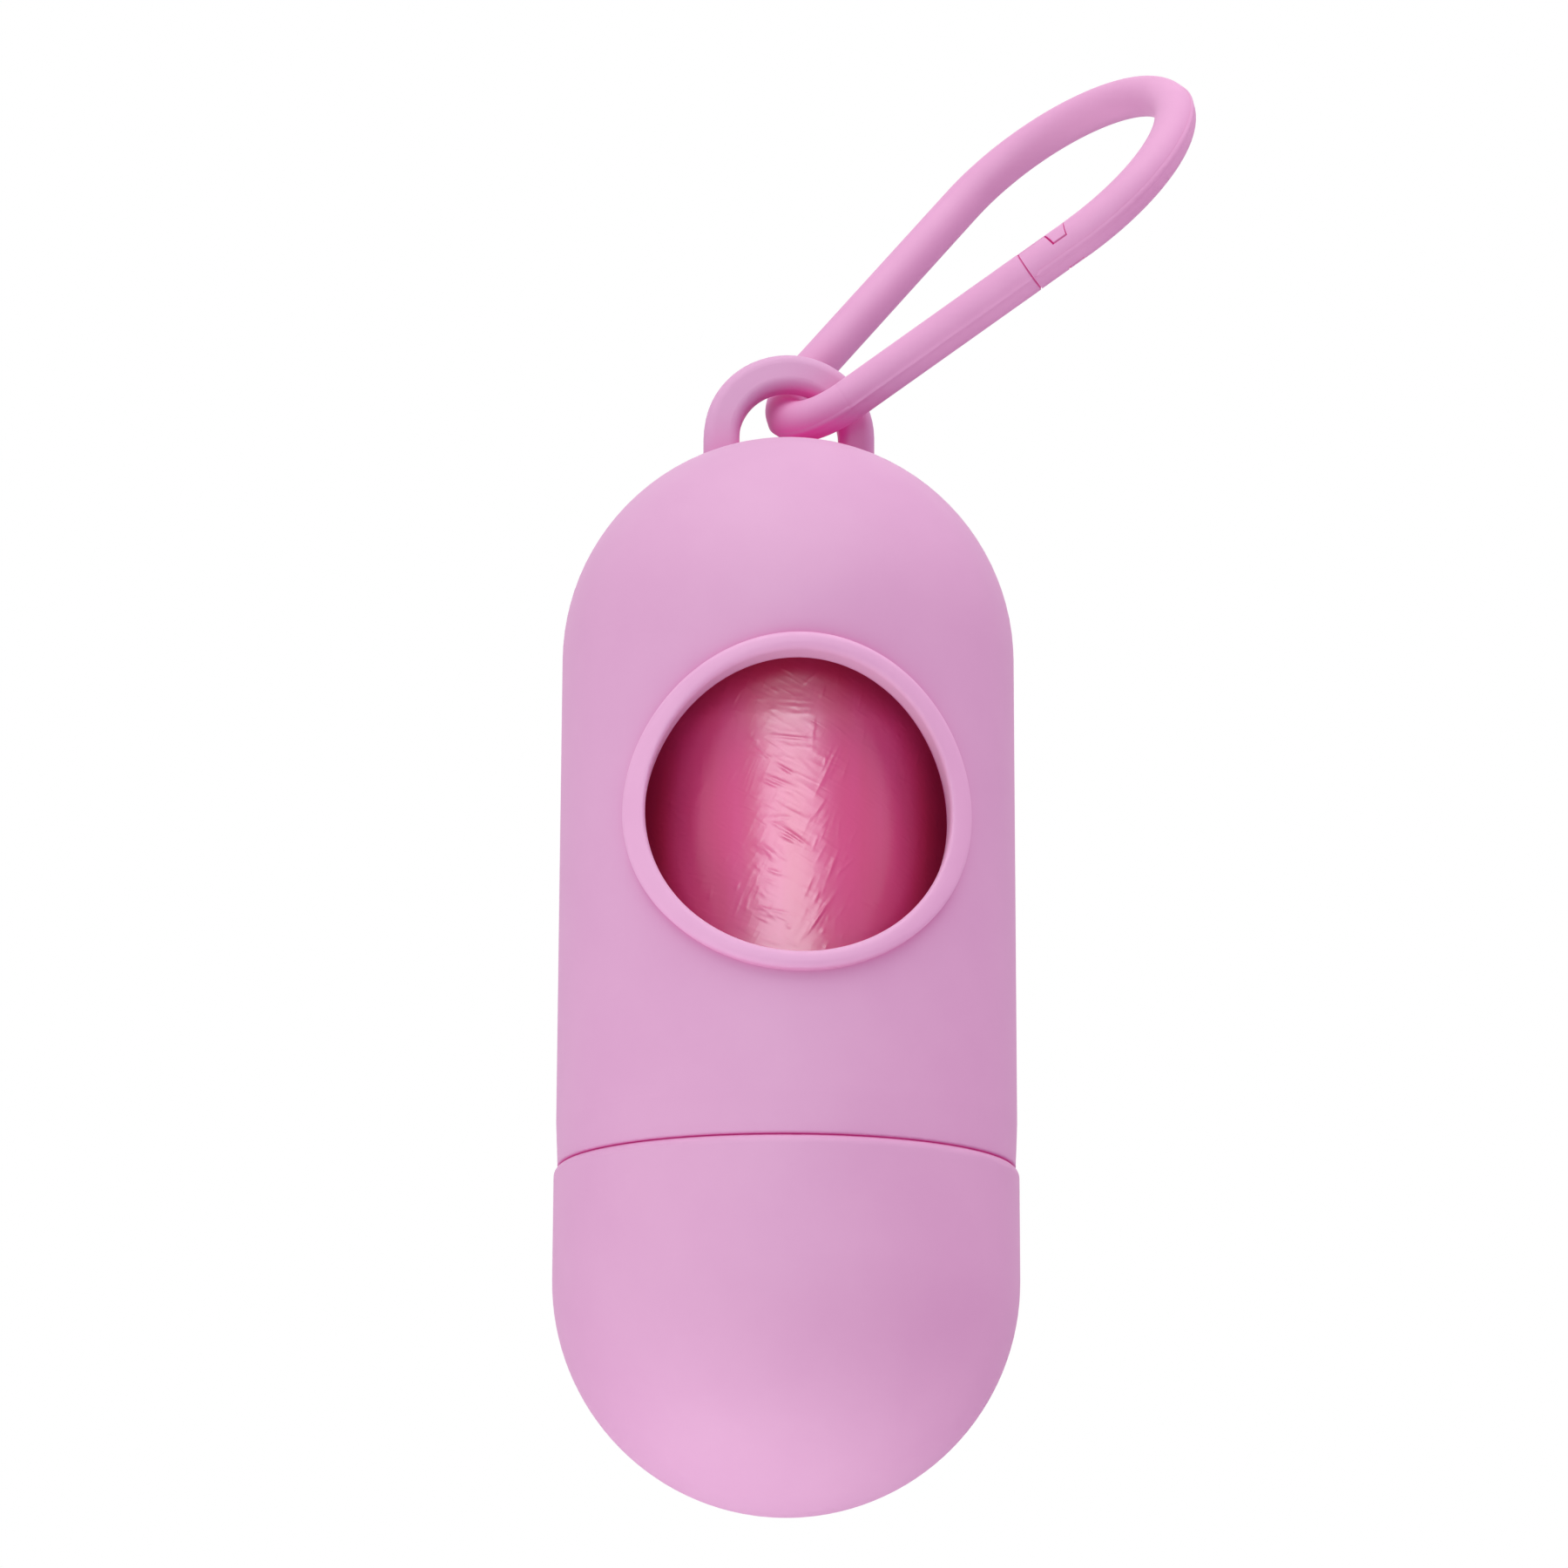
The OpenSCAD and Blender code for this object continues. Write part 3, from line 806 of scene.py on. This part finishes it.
studio = {
    "floorDrop": 0.55,    # of the floor below the row's origin, m
    "floorSize": 24.0,    # m
    "floor": "#f1eff0",
    "sky": (0.465, 0.21, 0.425),    # linear light from all round, rosy so that shaded sides stay pink
    "aim": (0.0, 0.0, 45.0),    # in capsule coordinates
}

# Azimuth from -Y towards +X and elevation in degrees, distance, width and height in m, power in W,
# which surfaces it shows on (matt, gloss or both), and tint
lamps = {
    "stripBox": (-4, 11.3, 0.75, 0.45, 0.15, 2.45, "gloss", (0.78, 1.0, 0.98)),
    "topBox": (0, 68, 0.65, 0.8, 0.5, 3.3, "both", (0.98, 1.0, 0.98)),
    "frontBox": (-7, 30, 0.75, 0.6, 0.5, 0.3, "matt", (1, 1, 1)),
    "rightBox": (70, 20, 0.65, 0.5, 0.5, 1.15, "matt", (1.0, 0.86, 0.98)),
    "leftBox": (-75, 0, 0.7, 0.5, 0.6, 1.3, "matt", (1, 1, 1)),
    "leftCard": (-60, -35, 0.7, 0.5, 0.5, 1.3, "both", (1, 1, 1)),
    "lowCard": (-10, -75, 0.22, 0.25, 0.25, 0.21, "both", (1, 1, 1)),
    "backBox": (180, 25, 0.9, 0.6, 0.6, 1.3, "matt", (1, 1, 1)),    # for views from behind
}


def makeFloor(v):
    # A level square far below the object
    half = v["floorSize"] / 2
    corner = np.linspace(-half, half, 2)
    x, y = np.meshgrid(corner, corner, indexing="ij")
    floor = addSurface("floor", np.stack([x, y, np.full((2, 2), -v["floorDrop"])], -1))
    # painted matt; the camera sees its paint evenly lit, whatever the lamps on the object do
    material, tree = newMaterial("paintedFloor")
    painted = addNode(tree, "BsdfPrincipled", Base_Color=linear(v["floor"]), Roughness=0.9)
    even = addNode(tree, "Emission", Color=linear(v["floor"]))
    rays = addNode(tree, "LightPath").outputs
    shader = addNode(tree, "MixShader", [("Fac", rays["Is Camera Ray"]),
                                         (1, painted.outputs["BSDF"]),
                                         (2, even.outputs["Emission"])])
    addNode(tree, "OutputMaterial", [("Surface", shader.outputs["Shader"])])
    dress(floor, material)


def makeSky(v):
    # White to the camera and in reflections, and softer as a light on the object
    world = bpy.data.worlds.new("studio")
    world.use_nodes = True
    tree = world.node_tree
    tree.nodes.clear()
    rays = addNode(tree, "LightPath").outputs
    seen = addNode(tree, "Math", [(0, rays["Is Camera Ray"]), (1, rays["Is Glossy Ray"])],
                   operation="MAXIMUM")
    seen = addNode(tree, "Math", [(0, seen.outputs["Value"]), (1, rays["Is Transmission Ray"])],
                   operation="MAXIMUM")
    colour = addNode(tree, "Mix", [("Factor", seen.outputs["Value"])], data_type="RGBA")
    colour.inputs["A"].default_value = (*v["sky"], 1.0)
    colour.inputs["B"].default_value = (1.0, 1.0, 1.0, 1.0)
    glow = addNode(tree, "Background", [("Color", colour.outputs["Result"])])
    addNode(tree, "OutputWorld", [("Surface", glow.outputs["Background"])])
    bpy.context.scene.world = world


def makeLamp(name, azimuth, elevation, distance, width, height, power, shows, tint):
    # A rectangle at the distance from the aim along (sin a cos e, -cos a cos e, sin e), facing it
    data = bpy.data.lights.new(name, "AREA")
    data.shape, data.size, data.size_y, data.energy = "RECTANGLE", width, height, power
    data.color = tint
    lamp = bpy.data.objects.new(name, data)
    bpy.context.scene.collection.objects.link(lamp)
    a, e = np.radians(azimuth), np.radians(elevation)
    away = np.array([np.sin(a) * np.cos(e), -np.cos(a) * np.cos(e), np.sin(e)])
    lamp.location = fromCapsule(np.array(studio["aim"])) + away * distance
    lamp.rotation_mode = "QUATERNION"
    lamp.rotation_quaternion = Vector(-away).to_track_quat("-Z", "Y")
    lamp.visible_camera = False
    lamp.visible_glossy = shows != "matt"
    lamp.visible_diffuse = shows != "gloss"


makeFloor(studio)
makeSky(studio)
for name, values in lamps.items():
    makeLamp(name, *values)
bpy.context.scene.view_settings.view_transform = "Standard"
print("studio made")
